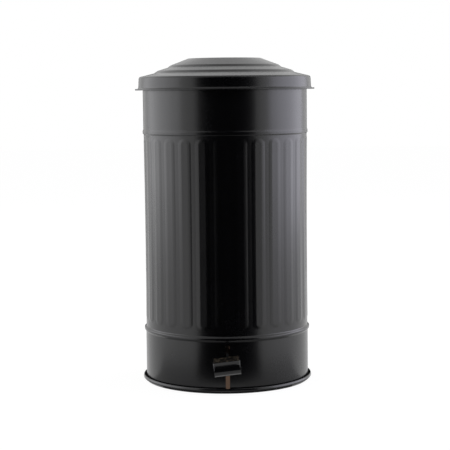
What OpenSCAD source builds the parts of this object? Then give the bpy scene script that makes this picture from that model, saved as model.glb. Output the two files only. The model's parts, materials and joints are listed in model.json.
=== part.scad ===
// Pedal bin: a black steel can with raised ribs, a stepped cap lid on a rear hinge,
// a front pedal on a rocking lever, a lift rod inside the back wall and a lift-out bucket.
// The lengths are millimetres. Heights are measured up from the floor.

/* [Body] */
// Outer radius of the body's plain wall
body_r = 130; // [120:1:160]
// Thickness of the body's and the lid's sheet steel
sheet_t = 0.8; // [0.6:0.1:1]
// Height of the lower bead above the floor
lower_band_h = 83.9; // [82:1:110]
// Height from the lower bead to the upper bead
rib_band_h = 312.9; // [220:1:420]
// Height from the upper bead to the middle of the rolled rim
upper_band_h = 78.7; // [74:1:110]
// Radius of the rolled rim's section
roll_r = 2; // [1.5:0.1:2.2]
// How far the lower bead stands out of the wall
low_bead_out = 2.3; // [1:0.1:3]
// Height of the lower bead's swell
low_bead_h = 9.4; // [7:0.1:11]
// How far the upper bead stands out of the wall
high_bead_out = 1; // [0.6:0.1:2.5]
// Reach of the upper bead above its middle
high_bead_up = 5.2; // [3.5:0.1:6]
// Reach of the upper bead below its middle, where the wall steps in
high_bead_down = 3.4; // [2.5:0.1:4.5]
// Height of the flat crest of both beads
bead_crest_h = 2; // [1:0.1:3]
// How far the ribbed wall between the beads is set in
waist = 0.9; // [0.3:0.1:1.2]

/* [Ribs] */
// Number of raised ribs around the body
rib_count = 28; // [12:1:30]
// Angle of the first rib from the front, positive to the right
rib_turn = -2.7; // [-6:0.1:6]
// Width of a rib's flat crest
rib_crest_w = 10.3; // [6:0.1:12]
// Width of the slope on each side of the crest
rib_slope_w = 6; // [4:0.1:7]
// Rise of the crest above the wall
rib_rise = 0.55; // [0.4:0.05:0.9]
// Distance from the lower bead's middle to a rib's lower end
rib_low_gap = 11; // [9:0.5:25]
// Distance from the upper bead's middle to a rib's upper end
rib_high_gap = 7.5; // [6:0.5:25]

/* [Pedal slot] */
// Width of the slot for the pedal lever
slot_w = 7.5; // [6.5:0.1:10]
// Height of the slot's lower end
slot_low_z = 5; // [5:0.5:8]
// Height of the slot's upper end
slot_top_z = 75.7; // [72:0.1:78]

/* [Base ring] */
// Radius of the ring's lip at its widest
ring_out = 5.4; // [4.5:0.1:7]
// Height of the ring's outer lip
ring_h = 8.7; // [7:0.1:12]
// Height of the widest line of the lip
ring_wide_z = 4.6; // [4:0.1:5.4]
// Height of the ring's floor under the wall
ring_floor_t = 4; // [3.8:0.1:4.4]
// Gap between the body's wall and the outer lip
ring_gap = 1.2; // [0.5:0.1:1.6]
// Thickness of the ring's inner lip
ring_inner_t = 2; // [1.5:0.1:3]
// Height of the ring's inner lip
ring_inner_h = 7; // [6:0.1:9]
// Distance from the wall's face in to the outer edge of the flat foot
ring_foot_in = 3.4; // [3:0.1:5]
// Width of the flat foot
ring_foot_w = 4; // [3.5:0.5:8]
// Thickness of the ring's sheet inside the inner lip
ring_web_t = 2.2; // [1.5:0.1:3]
// Depth of the notch in the outer lip below the slot
ring_notch_d = 2.2; // [1:0.1:3]

/* [Shelf] */
// Height of the shelf's top above the lower bead
shelf_up = 2.1; // [1.5:0.1:3]
// Thickness of the shelf's sheet
shelf_t = 1; // [0.8:0.1:1.2]
// Height of the shelf's turned-down flange
shelf_flange_h = 8; // [5:0.5:9]
// Radius of the stiffening ring pressed into the shelf
press_r = 70; // [60:1:85]
// Width of the stiffening ring
press_w = 10; // [8:0.5:14]
// Depth of the stiffening ring
press_d = 2; // [1:0.1:3]

/* [Lid] */
// Gap between the lid's skirt and the body's wall at the hinge level
skirt_gap = 6.2; // [5.4:0.1:7]
// How much the skirt narrows towards the shoulder
skirt_taper = 1; // [0.5:0.1:1.8]
// Drop from the middle of the rolled rim to the brim
brim_drop = 12.7; // [11:0.1:14]
// How far the brim flares out of the skirt
brim_w = 5.2; // [4:0.1:8]
// Radius of the wired edge of the brim
brim_roll_r = 1.25; // [1:0.05:1.5]
// Height of the shoulder above the middle of the rolled rim
shoulder_up = 7.6; // [6:0.1:9]
// Radius of the shoulder's edge
shoulder_fillet = 3.2; // [2.5:0.1:4.5]
// Width of the outer step of the cap
outer_step_w = 24.7; // [20:0.1:30]
// Rise of the outer step
outer_step_rise = 6.1; // [4:0.1:8]
// Width of each riser between two steps
riser_w = 4.9; // [3:0.1:6]
// Height of each riser
riser_h = 3.6; // [3:0.1:6]
// Width of the middle step
middle_step_w = 16.3; // [12:0.1:20]
// Rise of the middle step
middle_step_rise = 5; // [3:0.1:7]
// Width of the cone around the top disc
crown_w = 27.8; // [20:0.1:36]
// Rise of the cone around the top disc
crown_rise = 10.5; // [7:0.1:13]
// Rise of the slightly domed top disc
dome_rise = 1.1; // [0.5:0.1:2]
// Radius of the pressed edges between the steps
step_fillet = 2.4; // [1.5:0.1:2.8]
// Radius of a rubber buffer under the lid
buffer_r = 2.6; // [2:0.1:3]
// Number of rubber buffers
buffer_count = 3; // [3:1:6]

/* [Hinge] */
// Distance of the hinge axis behind the body's wall
hinge_out = 5.5; // [5.5:0.1:7]
// Drop of the hinge axis below the middle of the rolled rim
hinge_drop = 15.5; // [14:0.1:18]
// Radius of the hinge pin
hinge_pin_r = 2; // [1.5:0.1:2.2]
// Radius of the rounded ears around the hinge pin
ear_r = 5; // [4.5:0.1:5.2]
// Radius of the lid bracket's eye around the hinge pin
cheek_eye_r = 6; // [5.2:0.1:6.2]
// Thickness of the hinge bracket's sheet
bracket_t = 1.5; // [1.2:0.1:1.8]
// Distance from the middle to the inner face of a lid bracket cheek
cheek_x = 6; // [5.5:0.1:6.5]
// Gap between a cheek of the lid bracket and the notch in the wall
notch_gap = 2; // [1:0.1:2.4]
// Height of the hinge bracket's plate
plate_h = 44; // [38:1:50]
// Half width of the hinge bracket's plate
plate_half_w = 24; // [22:0.5:28]
// Radius of a rivet's shank
rivet_r = 2; // [1.5:0.1:2.2]
// Width of the lid bracket's leaf
leaf_w = 32; // [24:1:40]

/* [Linkage] */
// Distance from the hinge axis in to the lift rod's axis
rod_in = 14; // [14:0.1:15]
// How far the lid opens, in degrees
lid_swing = 65; // [50:1:66]
// Radius of the lift rod
rod_r = 2.25; // [2:0.05:2.5]
// Radius of the pins through the rod's two ends
link_pin_r = 2; // [1.6:0.1:2.1]
// Free play of the pin in the lid bracket's slots
slot_play = 0.6; // [0.5:0.05:0.8]
// Free play of the pin in the pedal lever's slot
lever_play = 0.3; // [0.2:0.05:0.4]
// Height of the pedal's pivot
pivot_z = 50; // [48:0.5:53]
// Distance of the pedal's pivot behind the middle of the can
pivot_back = 12; // [5:1:20]
// Radius of the pedal's pivot pin
pivot_pin_r = 3; // [2.5:0.1:3.5]
// Wall of the bush around the pivot pin
bush_wall = 1.9; // [1.5:0.1:2.2]
// Width of the pivot bracket's plate under the shelf
pivot_plate_w = 32; // [30:1:44]
// Length of the pivot bracket's plate, from front to back
pivot_plate_l = 36; // [34:1:50]
// Distance from the plate's edges to the middle of its rivets
pivot_rivet_in = 5.5; // [5:0.1:6]
// Radius of the pivot bracket's ears around the pin
pivot_ear_r = 7; // [6.5:0.1:8]
// Thickness of the on-edge pedal lever
lever_t = 3.5; // [3:0.1:4.2]
// Radius of the lever's boss around the pivot
lever_boss_r = 10; // [8.5:0.1:11]
// Half of the lever's height beside its boss
lever_half_h = 9; // [7:0.5:9.5]
// Rise of the lever's upper edge above the pivot at the front wall
lever_up = 13.2; // [11:0.1:14]
// Drop of the lever's lower edge below the pivot at the front wall
lever_down = 3; // [2:0.1:6]
// Height of the lower rod guide above the shelf
guide_low_up = 64; // [40:1:90]
// Height of the upper rod guide above the upper bead
guide_high_up = 6.2; // [6:0.1:9]
// Width of a rod guide's foot on the wall
guide_foot_w = 20; // [14:1:26]
// Height of a rod guide's foot on the wall
guide_foot_h = 16; // [10:1:16]

/* [Pedal pad] */
// Width of the pad
pad_w = 41.3; // [30:0.1:55]
// Radius of the rolled nose
nose_r = 10; // [8:0.1:10.5]
// Distance from the body's wall to the middle of the rolled nose
nose_out = 34.5; // [30:0.1:40]
// Distance from the body's wall to the pad's back edge
pad_back_out = 7.5; // [6:0.1:10]
// Height of the middle of the rolled nose above the floor
nose_z = 46; // [45:0.1:48]
// Rise of the top plate from the nose to its back edge
pad_rise = 2.6; // [1:0.1:3]
// Thickness of the pad's sheet
pad_t = 1.5; // [1.2:0.1:1.8]
// Length of the return below the nose
pad_return = 13; // [8:0.5:16]
// Sideways lean of the pad, in degrees, left end down
pad_lean = 6.5; // [0:0.5:7]
// Thickness of the grit strip on the top plate
grit_t = 0.7; // [0.4:0.1:1.2]
// Bare margin around the grit strip
grit_margin = 1.4; // [0.8:0.1:3]

/* [Bucket] */
// Outer radius of the bucket's wall at its foot
bucket_foot_r = 97; // [80:1:99]
// Drop of the bucket's rim below the middle of the body's rolled rim
bucket_drop = 39.5; // [39:0.5:80]
// Thickness of the bucket's wall
bucket_t = 1.8; // [1.2:0.1:2.4]
// Width of the bucket's rim flange, outside the wall
flange_w = 9.5; // [8:0.1:11]
// Depth of the lip below the flange
flange_lip = 7; // [4:0.5:10]
// Rise of the bucket's bottom inside its foot ring
foot_rise = 4; // [3:0.5:8]
// Radius of the bail's wire
wire_r = 1.5; // [1.2:0.1:1.9]
// Radius of the bail's grip
grip_r = 6; // [5:0.1:7]
// Angle that the grip covers, in degrees
grip_angle = 44; // [30:1:60]

/* [Fits] */
// Radial clearance of a pin that turns in its bore
pin_fit = 0.05; // [0.02:0.01:0.08]
// Gap between two sheets that are welded, riveted or rest on each other
seat = 0.1; // [0.05:0.05:0.3]
// Gap between a resting piece and its seat on another body
rest_gap = 0.3; // [0.2:0.05:0.4]
// Sideways gap between moving flat faces
side_gap = 0.4; // [0.3:0.05:0.5]

/* [Hidden] */
$fn = 96;

// Heights of the body
low_bead_z = lower_band_h;
high_bead_z = low_bead_z + rib_band_h;
rim_z = high_bead_z + upper_band_h;
wall_low_z = ring_floor_t + seat;
inner_r = body_r - sheet_t;
roll_mid_r = inner_r + roll_r;
waist_r = body_r - waist;
waist_in_r = waist_r - sheet_t;

// The shelf sits in the body at the lower bead
shelf_z = low_bead_z + shelf_up;
shelf_r = inner_r - seat;

// Hinge, lift rod and their travel
hinge_y = body_r + hinge_out;
hinge_z = rim_z - hinge_drop;
rod_y = hinge_y - rod_in;
rod_drop = rod_in * tan(lid_swing / 2);
rod_travel = 2 * rod_drop;
rod_top_z = hinge_z - rod_drop;
bore_r = hinge_pin_r + pin_fit;
cheek_out_x = cheek_x + bracket_t;
notch_x = cheek_out_x + notch_gap;
ear_x = notch_x + 0.5;
ear_out_x = ear_x + bracket_t;
pin_head_t = 1.6;
clip_t = 0.8;
link_arm_r = link_pin_r + slot_play + 2.4;
slot_in = rod_in - 0.4;
slot_out = rod_in / cos(lid_swing / 2) + 0.4;
notch_low_z = hinge_z - 13;
lid_notch_x = ear_out_x + pin_head_t + 1.4;
lid_notch_top = hinge_z + max(ear_r, cheek_eye_r) + 2;
plate_in_r = body_r + seat;
plate_top_z = hinge_z - 4;
plate_low_z = plate_top_z - plate_h;
rivet_angle = asin(17 / body_r);

// Lid outline
shoulder_z = rim_z + shoulder_up;
brim_z = rim_z - brim_drop;
skirt_r = body_r + skirt_gap + sheet_t;
shoulder_r = skirt_r - skirt_taper;
brim_r = skirt_r + brim_w;
step1_r = shoulder_r - outer_step_w;
step2_r = step1_r - riser_w;
step3_r = step2_r - middle_step_w;
step4_r = step3_r - riser_w;
crown_r = step4_r - crown_w;
step1_z = shoulder_z + outer_step_rise;
step2_z = step1_z + riser_h;
step3_z = step2_z + middle_step_rise;
step4_z = step3_z + riser_h;
crown_z = step4_z + crown_rise;
lid_top_z = crown_z + dome_rise;
lid_slope = outer_step_rise / outer_step_w;
leaf_t = bracket_t;

// Pedal
bush_r = pivot_pin_r + pin_fit + bush_wall;
pedal_ear_x = lever_t / 2 + 1.3;
bracket_top_z = shelf_z - shelf_t - seat;
nose_y = -(body_r + nose_out);
pad_back_y = -(body_r + pad_back_out);
pad_top_z = nose_z + nose_r;
pad_slope = pad_rise / (pad_back_y - nose_y);
lever_len = rod_y - pivot_back;
fork_x = lever_t / 2 + rest_gap;
fork_out_x = fork_x + 3;
fork_r = 5;
eye_x = cheek_x - side_gap;

// Bucket and bail
bucket_z = shelf_z + rest_gap;
bucket_top_z = rim_z - bucket_drop;
bucket_h = bucket_top_z - bucket_z;
bucket_top_r = rod_y - rod_r - 4.75 - flange_w;
flange_r = bucket_top_r + flange_w;
bail_r = flange_r - 3;
bail_z = bucket_top_z + grip_r + rest_gap;
lug_t = 3;
lug_out_x = bail_r - wire_r - 1;
lug_x = lug_out_x - lug_t;

// The frame's origin is the middle of the footprint, so the can's axis lies behind it
front_reach = body_r + nose_out + nose_r;
rear_reach = hinge_y + cheek_eye_r;
axis_y = (front_reach - rear_reach) / 2;

black = [0.05, 0.05, 0.055];
gloss = [0.09, 0.09, 0.1];
steel = [0.62, 0.63, 0.65];
grey_plastic = [0.2, 0.2, 0.21];

// A unit vector along v
function unit(v) = v / norm(v);

// Points of the arc that rounds the corner b between a and c
function corner(a, b, c, r, n) =
    let (u = unit(a - b), v = unit(c - b), half = acos(u * v) / 2)
    let (mid = b + unit(u + v) * r / sin(half), p = b + u * r / tan(half), q = b + v * r / tan(half))
    let (a0 = atan2(p[1] - mid[1], p[0] - mid[0]), a1 = atan2(q[1] - mid[1], q[0] - mid[0]))
    let (turn = (a1 - a0 > 180) ? a1 - a0 - 360 : (a1 - a0 < -180) ? a1 - a0 + 360 : a1 - a0)
    [for (i = [0:n]) mid + r * [cos(a0 + turn * i / n), sin(a0 + turn * i / n)]];

// An open outline of [r, z, fillet] points with its inner corners rounded
function rounded(path, n = 5) = [
    for (i = [0:len(path) - 1])
        let (p = [path[i][0], path[i][1]], f = path[i][2])
        each (f == 0 || i == 0 || i == len(path) - 1) ? [p] :
            corner([path[i - 1][0], path[i - 1][1]], p, [path[i + 1][0], path[i + 1][1]], f, n)
];

// The left-hand normal of the step from a to b
function left(a, b) = let (d = unit(b - a)) [-d[1], d[0]];

// The outline shifted to its left by t, as the other face of a sheet
function shifted(path, t) = [
    for (i = [0:len(path) - 1])
        let (n0 = left(path[max(i - 1, 0)], path[max(i, 1)]))
        let (last = len(path) - 1, n1 = left(path[min(i, last - 1)], path[min(i + 1, last)]))
        let (m = unit(n0 + n1))
        path[i] + m * t / (m * n0)
];

function reversed(path) = [for (i = [len(path) - 1:-1:0]) path[i]];

// A smooth ramp of the wall from the point a up to the point b
function ramp(a, b, n = 5) = [
    for (i = [0:n]) [a[0] + (b[0] - a[0]) * (1 - cos(180 * i / n)) / 2, a[1] + (b[1] - a[1]) * i / n]
];

module at_axis() translate([0, axis_y, 0]) children();

// A cylinder along X between x0 and x1
module bar_x(x0, x1, r) translate([x0, 0, 0]) rotate([0, 90, 0]) cylinder(r = r, h = x1 - x0);

// A plate in the YZ plane between x0 and x1, drawn as [y, z]
module plate_x(x0, x1) translate([x0, 0, 0]) rotate([90, 0, 90]) linear_extrude(x1 - x0) children();

// Turns a rivet drawn along Z so that it points out of the back wall
module back_wall(angle, z) rotate([0, 0, -angle]) translate([0, 0, z]) rotate([-90, 0, 0]) children();

module wall_section() {
    low_crest_r = body_r + low_bead_out;
    high_crest_r = body_r + high_bead_out;
    half = bead_crest_h / 2;
    outer = concat(
        [[body_r, wall_low_z]],
        ramp([body_r, low_bead_z - low_bead_h / 2], [low_crest_r, low_bead_z - half]),
        ramp([low_crest_r, low_bead_z + half], [waist_r, low_bead_z + low_bead_h / 2]),
        ramp([waist_r, high_bead_z - high_bead_down], [high_crest_r, high_bead_z - half]),
        ramp([high_crest_r, high_bead_z + half], [body_r, high_bead_z + high_bead_up]),
        [[body_r, rim_z]]
    );
    polygon(concat(outer, reversed(shifted(outer, sheet_t))));
    translate([roll_mid_r, rim_z]) circle(r = roll_r, $fn = 32);
}

// One rib's form, with its crest at the distance top from the axis and its base at low, inside the wall
module rib_form(top, low, inset) {
    half_top = rib_crest_w / 2 - inset;
    half_foot = half_top + rib_slope_w;
    foot = sqrt(pow(top - rib_rise, 2) - pow(half_foot, 2));
    // The slopes run on below the wall's face, so that they cut it cleanly
    half_low = half_top + rib_slope_w * (top - low) / (top - foot);
    z0 = low_bead_z + rib_low_gap + half_foot;
    z1 = high_bead_z - rib_high_gap - half_foot;
    translate([0, 0, z0]) linear_extrude(z1 - z0)
        polygon([[-half_low, low], [half_low, low], [half_top, top], [-half_top, top]]);
    for (z = [z0, z1]) translate([0, 0, z]) rotate([-90, 0, 0]) translate([0, 0, low])
        cylinder(r1 = half_low, r2 = half_top, h = top - low, $fn = 48);
}

// The bore of a rivet, along Z
module rivet_bore(h) cylinder(r = rivet_r + pin_fit, h = h, $fn = 32);

module rivet_holes() {
    for (side = [-1, 1], z = [plate_low_z + 9, plate_top_z - 12])
        back_wall(side * rivet_angle, z) translate([0, 0, inner_r - 3]) rivet_bore(9);
}

module body_shell() {
    color(black) difference() {
        union() {
            rotate_extrude($fn = 180) wall_section();
            for (i = [0:rib_count - 1]) rotate([0, 0, 180 + rib_turn + i * 360 / rib_count])
                rib_form(waist_r + rib_rise, waist_in_r + 0.25, 0);
        }
        for (i = [0:rib_count - 1]) rotate([0, 0, 180 + rib_turn + i * 360 / rib_count])
            rib_form(waist_in_r + rib_rise, waist_in_r - 1.3, 0.1);
        // Slot for the pedal lever
        translate([0, -body_r + 5, 0]) rotate([90, 0, 0]) linear_extrude(10) {
            translate([-slot_w / 2, slot_low_z + slot_w / 2])
                square([slot_w, slot_top_z - slot_low_z - slot_w]);
            for (z = [slot_low_z + slot_w / 2, slot_top_z - slot_w / 2])
                translate([0, z]) circle(r = slot_w / 2, $fn = 32);
        }
        // Notch for the lid bracket
        translate([-notch_x, body_r - 6, notch_low_z])
            cube([2 * notch_x, 12, rim_z + roll_r + 1 - notch_low_z]);
        rivet_holes();
    }
}

module base_ring() {
    lip_in = body_r + ring_gap;
    groove_in = inner_r - rest_gap;
    inner_lip = groove_in - ring_inner_t;
    wide = body_r + ring_out;
    foot_r = body_r - ring_foot_in;
    outline = rounded([
        [foot_r - ring_foot_w, 0, 0],
        [foot_r, 0, 1.5],
        [wide, ring_wide_z, 2.2],
        [wide - 1, ring_h, 1],
        [lip_in, ring_h, 0.6],
        [lip_in, ring_floor_t, 0],
        [groove_in, ring_floor_t, 0],
        [groove_in, ring_inner_h, 0.5],
        [inner_lip, ring_inner_h, 0.5],
        [inner_lip, ring_web_t, 0.8],
        [foot_r - ring_foot_w, ring_web_t, 0]
    ]);
    color(gloss) difference() {
        rotate_extrude($fn = 180) polygon(outline);
        // Notch in the outer lip below the slot
        translate([0, -body_r, ring_h - ring_notch_d + slot_w / 2]) rotate([90, 0, 0])
            cylinder(r = slot_w / 2, h = 2 * ring_out, $fn = 48);
    }
}

module shelf() {
    top = rounded([
        [shelf_r, shelf_z - shelf_flange_h, 0],
        [shelf_r, shelf_z, 2.5],
        [press_r + press_w / 2 + press_d, shelf_z, 1.4],
        [press_r + press_w / 2, shelf_z - press_d, 1.4],
        [press_r - press_w / 2, shelf_z - press_d, 1.4],
        [press_r - press_w / 2 - press_d, shelf_z, 1.4],
        [0, shelf_z, 0]
    ]);
    color(steel) difference() {
        rotate_extrude($fn = 180) polygon(concat(top, reversed(shifted(top, shelf_t))));
        // Way for the lift rod
        translate([0, rod_y, shelf_z - 5]) cylinder(r = rod_r + 2, h = 10, $fn = 32);
        // Rivet holes of the pivot bracket
        pivot_rivet_places() translate([0, 0, shelf_z - 5]) rivet_bore(10);
    }
}

module pivot_rivet_places() {
    x = pivot_plate_w / 2 - pivot_rivet_in;
    y = pivot_plate_l / 2 - pivot_rivet_in;
    for (side = [-1, 1], end = [-1, 1]) translate([side * x, pivot_back + end * y, 0]) children();
}

module pivot_bracket() {
    color(steel) difference() {
        union() {
            translate([-pivot_plate_w / 2, pivot_back - pivot_plate_l / 2, bracket_top_z - bracket_t])
                cube([pivot_plate_w, pivot_plate_l, bracket_t]);
            for (side = [-1, 1]) {
                x0 = side > 0 ? pedal_ear_x : -pedal_ear_x - bracket_t;
                plate_x(x0, x0 + bracket_t) {
                    polygon([
                        [pivot_back - pivot_plate_l * 0.42, bracket_top_z - bracket_t / 2],
                        [pivot_back + pivot_plate_l * 0.42, bracket_top_z - bracket_t / 2],
                        [pivot_back + pivot_ear_r * 0.985, pivot_z - pivot_ear_r * 0.14],
                        [pivot_back - pivot_ear_r * 0.985, pivot_z - pivot_ear_r * 0.14]
                    ]);
                    translate([pivot_back, pivot_z]) circle(r = pivot_ear_r);
                }
            }
        }
        translate([0, pivot_back, pivot_z]) bar_x(-20, 20, pivot_pin_r + pin_fit);
        pivot_rivet_places() translate([0, 0, bracket_top_z - 5]) rivet_bore(10);
    }
}

// A rivet along Z: the sheets lie between z = 0 and z = grip
module rivet(grip) {
    head_r = rivet_r * 1.7;
    head_h = rivet_r * 0.6;
    cylinder(r = rivet_r, h = grip, $fn = 32);
    rotate_extrude($fn = 32) polygon(concat(
        [[0, grip], [head_r, grip]],
        [for (a = [15:15:75]) [head_r * cos(a), grip + head_h * sin(a)]],
        [[0, grip + head_h]]
    ));
    translate([0, 0, -head_h]) cylinder(r = head_r, h = head_h, $fn = 32);
}

module pivot_rivets() {
    low = bracket_top_z - bracket_t - seat;
    color(steel) pivot_rivet_places() translate([0, 0, low]) rivet(shelf_z + seat - low);
}

// A headed pin along X, its head on the +X side and its end past -X
module headed_pin(r, reach, head_r) {
    bar_x(-reach - clip_t - 1, reach + 0.01, r);
    bar_x(reach, reach + pin_head_t, head_r);
}

// A spring clip around a pin, just past -X reach
module clip_ring(r, reach, out_r) {
    difference() {
        bar_x(-reach - clip_t, -reach, out_r);
        bar_x(-reach - clip_t - 1, -reach + 1, r + pin_fit);
        translate([-reach - clip_t - 1, -r * 0.8, -out_r - 1]) cube([clip_t + 2, r * 1.6, out_r + 1]);
    }
}

pivot_reach = pedal_ear_x + bracket_t + seat;
hinge_reach = ear_out_x + seat;
link_top_reach = cheek_out_x + side_gap;
link_foot_reach = fork_out_x + seat;

module pivot_pin() {
    color(steel) translate([0, pivot_back, pivot_z]) headed_pin(pivot_pin_r, pivot_reach, pivot_pin_r * 1.5);
}

module pivot_clip() {
    color(steel) translate([0, pivot_back, pivot_z]) clip_ring(pivot_pin_r, pivot_reach, pivot_pin_r * 1.7);
}

module rod_guides() {
    tab_r = rod_r + pin_fit + 1.6;
    // The lower guide sits on the set-in wall, the upper one above the upper bead
    low_place = [waist_in_r - seat, shelf_z + guide_low_up];
    high_place = [inner_r - seat, high_bead_z + guide_high_up];
    for (place = [low_place, high_place]) {
        foot_r = place[0];
        z = place[1];
        color(steel) difference() {
            union() {
                // The foot follows the wall
                intersection() {
                    difference() {
                        translate([0, 0, z - guide_foot_h / 2])
                            cylinder(r = foot_r, h = guide_foot_h, $fn = 180);
                        translate([0, 0, z - guide_foot_h / 2 - 1])
                            cylinder(r = foot_r - bracket_t, h = guide_foot_h + 2, $fn = 180);
                    }
                    translate([-guide_foot_w / 2, foot_r - 6, z - guide_foot_h / 2])
                        cube([guide_foot_w, 12, guide_foot_h]);
                }
                // The tab reaches in to the rod
                translate([-tab_r, rod_y, z - bracket_t / 2])
                    cube([2 * tab_r, foot_r - 1 - rod_y, bracket_t]);
                translate([0, rod_y, z - bracket_t / 2]) cylinder(r = tab_r, h = bracket_t, $fn = 48);
            }
            translate([0, rod_y, z - bracket_t]) cylinder(r = rod_r + pin_fit, h = 2 * bracket_t, $fn = 48);
        }
    }
}

module hinge_bracket() {
    color(black) difference() {
        union() {
            intersection() {
                difference() {
                    translate([0, 0, plate_low_z])
                        cylinder(r = plate_in_r + bracket_t, h = plate_h, $fn = 180);
                    translate([0, 0, plate_low_z - 1])
                        cylinder(r = plate_in_r, h = plate_h + 2, $fn = 180);
                }
                translate([-plate_half_w, body_r - 10, plate_low_z]) cube([2 * plate_half_w, 20, plate_h]);
            }
            for (side = [-1, 1]) {
                x0 = side > 0 ? ear_x : -ear_out_x;
                plate_x(x0, x0 + bracket_t) {
                    polygon([
                        [body_r + seat + 0.3, plate_top_z - 20],
                        [body_r + 3, plate_top_z - 20],
                        [hinge_y + ear_r * 0.95, hinge_z - ear_r * 0.3],
                        [hinge_y - ear_r * 0.95, hinge_z + ear_r * 0.3],
                        [body_r + seat + 0.3, plate_top_z]
                    ]);
                    translate([hinge_y, hinge_z]) circle(r = ear_r);
                }
            }
        }
        translate([0, hinge_y, hinge_z]) bar_x(-plate_half_w, plate_half_w, bore_r);
        translate([-notch_x, body_r - 6, notch_low_z]) cube([2 * notch_x, 6 + 2 * hinge_out, plate_h]);
        rivet_holes();
    }
}

module hinge_rivets() {
    low = inner_r - 0.2;
    color(black) for (side = [-1, 1], z = [plate_low_z + 9, plate_top_z - 12])
        back_wall(side * rivet_angle, z) translate([0, 0, low]) rivet(plate_in_r + bracket_t + seat - low);
}

module hinge_pin() {
    color(steel) translate([0, hinge_y, hinge_z]) headed_pin(hinge_pin_r, hinge_reach, hinge_pin_r * 1.6);
}

module hinge_clip() {
    color(steel) translate([0, hinge_y, hinge_z]) clip_ring(hinge_pin_r, hinge_reach, hinge_pin_r * 1.9);
}

module pedal_lever() {
    end_r = link_pin_r + lever_play + 2.1;
    slot_a = rod_y - 0.3;
    slot_b = rod_y + sqrt(pow(lever_len, 2) + pow(rod_travel, 2)) - lever_len + 0.3;
    wall_y = -body_r;
    tip_y = nose_y + 4;
    under = pad_top_z - pad_t - 0.5;
    color(black) difference() {
        plate_x(-lever_t / 2, lever_t / 2) {
            polygon([
                [slot_b, pivot_z + end_r],
                [pivot_back, pivot_z + lever_half_h],
                [wall_y, pivot_z + lever_up],
                [(wall_y + 2 * pad_back_y) / 3, pivot_z + lever_up],
                [pad_back_y + 0.5, under + pad_slope * (pad_back_y - nose_y)],
                [tip_y, under + pad_slope * (tip_y - nose_y)],
                [tip_y, nose_z],
                [wall_y, pivot_z - lever_down],
                [pivot_back, pivot_z - lever_half_h],
                [slot_b, pivot_z - end_r]
            ]);
            translate([slot_b, pivot_z]) circle(r = end_r);
            translate([pivot_back, pivot_z]) circle(r = lever_boss_r);
        }
        translate([0, pivot_back, pivot_z]) bar_x(-lever_t, lever_t, bush_r + pin_fit);
        for (y = [slot_a, slot_b])
            translate([0, y, pivot_z]) bar_x(-lever_t, lever_t, link_pin_r + lever_play);
        translate([-lever_t, slot_a, pivot_z - link_pin_r - lever_play])
            cube([2 * lever_t, slot_b - slot_a, 2 * (link_pin_r + lever_play)]);
    }
}

module pivot_bush() {
    half = pedal_ear_x - 0.15;
    color("white") translate([0, pivot_back, pivot_z]) difference() {
        bar_x(-half, half, bush_r);
        bar_x(-half - 1, half + 1, pivot_pin_r + pin_fit);
    }
}

// Leans what lies on the pad about the line through the middle of its top plate
module leaned()
    translate([0, 0, pad_top_z]) rotate([0, -pad_lean, 0]) translate([0, 0, -pad_top_z]) children();

module pedal_pad() {
    color(gloss) leaned() plate_x(-pad_w / 2, pad_w / 2) {
        difference() {
            translate([nose_y, nose_z]) circle(r = nose_r, $fn = 64);
            translate([nose_y, nose_z]) circle(r = nose_r - pad_t, $fn = 64);
            translate([nose_y, nose_z - nose_r - 1]) square([nose_r + 2, 2 * nose_r + 2]);
        }
        polygon([
            [nose_y - 0.01, pad_top_z],
            [nose_y - 0.01, pad_top_z - pad_t],
            [pad_back_y, pad_top_z + pad_rise - pad_t],
            [pad_back_y, pad_top_z + pad_rise]
        ]);
        translate([nose_y - 0.01, nose_z - nose_r]) square([pad_return, pad_t]);
    }
}

module pad_grip() {
    y0 = nose_y + 2;
    y1 = pad_back_y - grit_margin;
    color([0.1, 0.09, 0.07]) leaned() plate_x(-pad_w / 2 + grit_margin, pad_w / 2 - grit_margin) polygon([
        [y0, pad_top_z + pad_slope * (y0 - nose_y) + 0.02],
        [y1, pad_top_z + pad_slope * (y1 - nose_y) + 0.02],
        [y1, pad_top_z + pad_slope * (y1 - nose_y) + grit_t],
        [y0, pad_top_z + pad_slope * (y0 - nose_y) + grit_t]
    ]);
}

module lift_rod() {
    fork_top = pivot_z + fork_r + 5;
    color(steel) translate([0, rod_y, 0]) difference() {
        union() {
            translate([0, 0, fork_top - 1]) cylinder(r = rod_r, h = rod_top_z - fork_top + 1, $fn = 48);
            translate([0, 0, rod_top_z]) bar_x(-eye_x, eye_x, link_pin_r + 2.5);
            translate([0, 0, pivot_z]) bar_x(-fork_out_x, fork_out_x, fork_r);
            translate([-fork_out_x, -fork_r, pivot_z])
                cube([2 * fork_out_x, 2 * fork_r, fork_top - pivot_z]);
        }
        translate([-fork_x, -fork_r - 1, pivot_z - fork_r - 1])
            cube([2 * fork_x, 2 * fork_r + 2, fork_top - 2.2 - pivot_z + fork_r + 1]);
        translate([0, 0, rod_top_z]) bar_x(-20, 20, link_pin_r + pin_fit);
        translate([0, 0, pivot_z]) bar_x(-20, 20, link_pin_r + pin_fit);
    }
}

module rod_top_pin() {
    color(steel) translate([0, rod_y, rod_top_z]) headed_pin(link_pin_r, link_top_reach, link_pin_r * 2);
}

module rod_foot_pin() {
    color(steel) translate([0, rod_y, pivot_z]) headed_pin(link_pin_r, link_foot_reach, link_pin_r * 1.7);
}

module rod_clips() {
    color(steel) translate([0, rod_y, 0]) {
        translate([0, 0, rod_top_z]) clip_ring(link_pin_r, link_top_reach, link_pin_r * 2);
        translate([0, 0, pivot_z]) clip_ring(link_pin_r, link_foot_reach, link_pin_r * 1.7);
    }
}

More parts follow.
